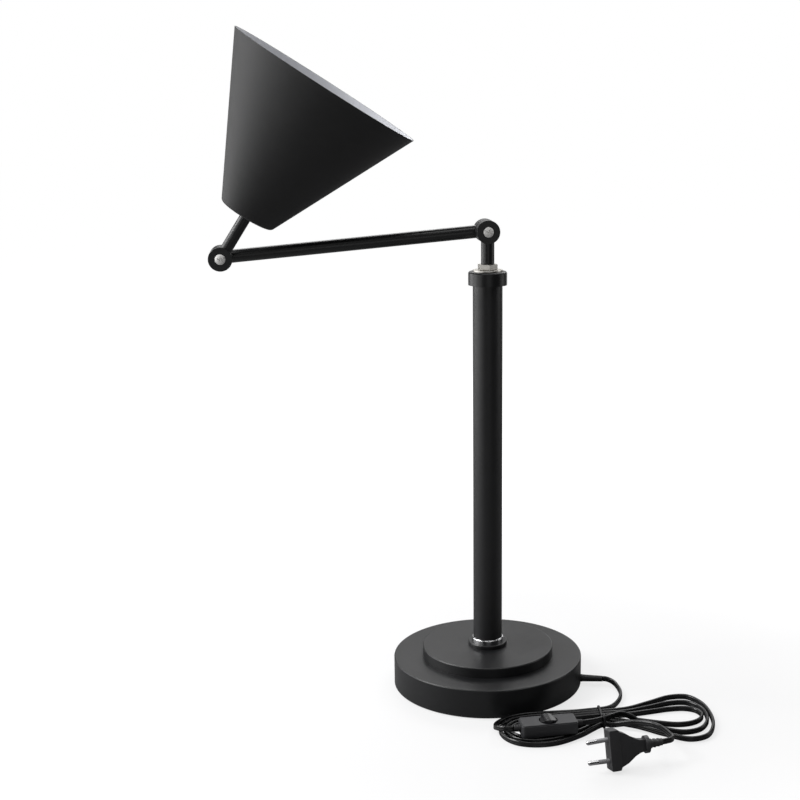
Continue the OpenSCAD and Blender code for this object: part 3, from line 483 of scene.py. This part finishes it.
def tie_wrap(name):
    pts = [np.array([0, v, z], float) for v, z in TIE_FORM]
    pts = smooth_path(pts + [pts[0]], 1.2)
    pts = [to_row(p) * MM for p in pts]
    verts = []
    k = TIE_SIDES
    n = len(pts) - 1
    mid = to_row((0, 0, 5)) * MM
    for i in range(n):
        d = pts[(i + 1) % n] - pts[(i - 1) % n]
        d = d / np.linalg.norm(d)
        along = np.array([math.cos(HANK_TURN), math.sin(HANK_TURN), 0])
        along = along - d * float(along @ d)
        along = along / np.linalg.norm(along)
        out = np.cross(d, along)
        if float(out @ (pts[i] - mid)) < 0:
            out = -out
        for j in range(k):
            a = 2 * math.pi * j / k
            across = along * TIE_HALF_WIDTH * math.cos(a)
            outward = out * TIE_HALF_DEPTH * math.sin(a)
            verts.append(pts[i] + (across + outward) * MM)
    faces = []
    for i in range(n):
        for j in range(k):
            a, b = i * k + j, i * k + (j + 1) % k
            c, d = ((i + 1) % n) * k + (j + 1) % k, ((i + 1) % n) * k + j
            faces.append((a, b, c, d))
    return mesh_object(name, verts, faces)


tie = tie_wrap("tie_wrap")
tie.data.materials.append(RUBBER)
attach(tie, "stand")
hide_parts("cord_tie")

# ---------------------------------------------------------------- shade
FALL = math.radians(5)
ARM_LEN, HINGE_Z = 0.2475, 0.4465
H2 = mathutils.Vector((-ARM_LEN * math.cos(FALL), 0, HINGE_Z - ARM_LEN * math.sin(FALL)))
TILT, LEAN = math.radians(4.5), math.radians(32.4)
HEAD = (
    mathutils.Matrix.Translation(H2)
    @ mathutils.Matrix.Rotation(TILT, 4, "X")
    @ mathutils.Matrix.Rotation(LEAN, 4, "Y")
)
S0 = 46.9
S_LEN = 138
R1, R2, SHEET = 25.9, 92.3, 0.9
HOLE_R = 5.7
ROUND = 4
BEND_STEPS, WALL_STEPS, TURNS = 10, 24, 160
slope = math.atan2(R2 - R1, S_LEN)


def shade_profile():
    """Outside from the hole up to the lip, over it, and down the inside: radius, height, kind."""
    mid = R1 + ROUND * (math.tan(slope) - 1 / math.cos(slope))
    thick = SHEET / math.cos(slope)

    def bend(r, kind, back=False):
        turn = [-math.pi / 2 + (math.pi / 2 - slope) * i / BEND_STEPS for i in range(BEND_STEPS + 1)]
        if back:
            turn = turn[::-1]
        return [(mid + r * math.cos(a), ROUND + r * math.sin(a), kind) for a in turn]

    def line(a, b, kind):
        return [
            (a[0] + (b[0] - a[0]) * i / WALL_STEPS, a[1] + (b[1] - a[1]) * i / WALL_STEPS, kind)
            for i in range(1, WALL_STEPS)
        ]

    outer, inner = bend(ROUND, 0), bend(ROUND - SHEET, 2, True)
    lip = [(R2 - 0.1, S_LEN - 0.25, 0), (R2, S_LEN - 0.1, 1), (R2 - 0.2, S_LEN, 1)]
    lip += [(R2 - thick + 0.2, S_LEN, 1), (R2 - thick, S_LEN - 0.15, 1)]
    rows = [(HOLE_R, 0, 0), (12, 0, 0), (18, 0, 0)] + outer + line(outer[-1], lip[0], 0)
    rows += lip + line(lip[-1], inner[0], 2) + inner
    return rows + [(16, SHEET, 2), (HOLE_R, SHEET, 2), (HOLE_R, 0, 0)]


rows = shade_profile()
shade = revolve(
    "shade_spun", [(r * MM, (S0 + z) * MM) for r, z, _ in rows], TURNS, HEAD
)
for m in (SHADE_OUT, RIM, SHADE_IN):
    shade.data.materials.append(m)
per_turn = len(rows) - 1
for i, poly in enumerate(shade.data.polygons):
    poly.material_index = rows[i % per_turn + 1][2]
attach(shade, "head")
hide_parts("shade_shell")

# ---------------------------------------------------------------- light and floor
scene.view_settings.view_transform = "Standard"
world = bpy.data.worlds.new("studio")
scene.world = world
world.use_nodes = True
wt = world.node_tree
wt.nodes.clear()
path = wt.nodes.new("ShaderNodeLightPath")
white = wt.nodes.new("ShaderNodeBackground")
white.inputs["Color"].default_value = (1, 1, 1, 1)
out = wt.nodes.new("ShaderNodeOutputWorld")
wt.links.new(path.outputs["Is Camera Ray"], white.inputs["Strength"])
wt.links.new(white.outputs[0], out.inputs["Surface"])

# softboxes round the lamp: bearing and height in degrees, watts
KEY = 26
BACK = 6.5
LEFT_LOW = 6.3
TOP = 4
AIM = mathutils.Vector((0, 0, 0.3))
REACH = 1.6
BOX_SIZE = 0.8


def softbox(bearing, height, watts):
    turn, lift = math.radians(bearing), math.radians(height)
    outward = mathutils.Vector((
        math.cos(turn) * math.cos(lift),
        math.sin(turn) * math.cos(lift),
        math.sin(lift),
    ))
    data = bpy.data.lights.new("softbox", "AREA")
    data.shape = "SQUARE"
    data.size = BOX_SIZE
    data.energy = watts
    lamp = bpy.data.objects.new("softbox", data)
    scene.collection.objects.link(lamp)
    lamp.location = AIM + REACH * outward
    lamp.rotation_euler = (-outward).to_track_quat("-Z", "Y").to_euler()
    lamp.visible_camera = False


softbox(175, 40, KEY)
softbox(95, 40, BACK)
softbox(55, 40, BACK)
softbox(180, 5, LEFT_LOW)
softbox(150, 5, LEFT_LOW)
softbox(315, 66, TOP)
softbox(225, 66, TOP)
# weak low lamps, which draw the edges
softbox(210, 5, 3)
softbox(0, 5, 2)
softbox(60, 5, 2)
softbox(90, 5, 1)
softbox(270, 5, 1)
softbox(120, 5, 0.5)
# weak fill from the front
softbox(335, 40, 1)
softbox(255, 40, 0.6)

FLOOR = [(-9, -4, 0), (9, -4, 0), (9, 14, 0), (-9, 14, 0)]
NEAR, FAR = 0.2, 0.8
NEAR_GLOW, FAR_GLOW = 0.72, 1.0
floor = mesh_object("floor", FLOOR, [(0, 1, 2, 3)], smooth=False)
fm = bpy.data.materials.new("pale_floor")
fm.use_nodes = True
ft = fm.node_tree
fs = next(n for n in ft.nodes if n.type == "BSDF_PRINCIPLED")
fs.inputs["Base Color"].default_value = (0.2, 0.2, 0.203, 1)
fs.inputs["Roughness"].default_value = 0.6
fs.inputs["Specular IOR Level"].default_value = 0.2
fp = ft.nodes.new("ShaderNodeLightPath")
fe = ft.nodes.new("ShaderNodeEmission")
fe.inputs["Color"].default_value = (1, 1, 1, 1)
add = ft.nodes.new("ShaderNodeAddShader")
lift = ft.nodes.new("ShaderNodeMath")
lift.operation = "MULTIPLY"
where = ft.nodes.new("ShaderNodeNewGeometry")
far = ft.nodes.new("ShaderNodeVectorMath")
far.operation = "LENGTH"
rise = ft.nodes.new("ShaderNodeMapRange")
rise.interpolation_type = "SMOOTHSTEP"
rise.inputs["From Min"].default_value = NEAR
rise.inputs["From Max"].default_value = FAR
rise.inputs["To Min"].default_value = NEAR_GLOW
rise.inputs["To Max"].default_value = FAR_GLOW
ft.links.new(where.outputs["Position"], far.inputs[0])
ft.links.new(far.outputs["Value"], rise.inputs["Value"])
ft.links.new(rise.outputs["Result"], lift.inputs[1])
fo = next(n for n in ft.nodes if n.type == "OUTPUT_MATERIAL")
ft.links.new(fp.outputs["Is Camera Ray"], lift.inputs[0])
ft.links.new(lift.outputs[0], fe.inputs["Strength"])
ft.links.new(fs.outputs[0], add.inputs[0])
ft.links.new(fe.outputs[0], add.inputs[1])
ft.links.new(add.outputs[0], fo.inputs["Surface"])
floor.data.materials.append(fm)
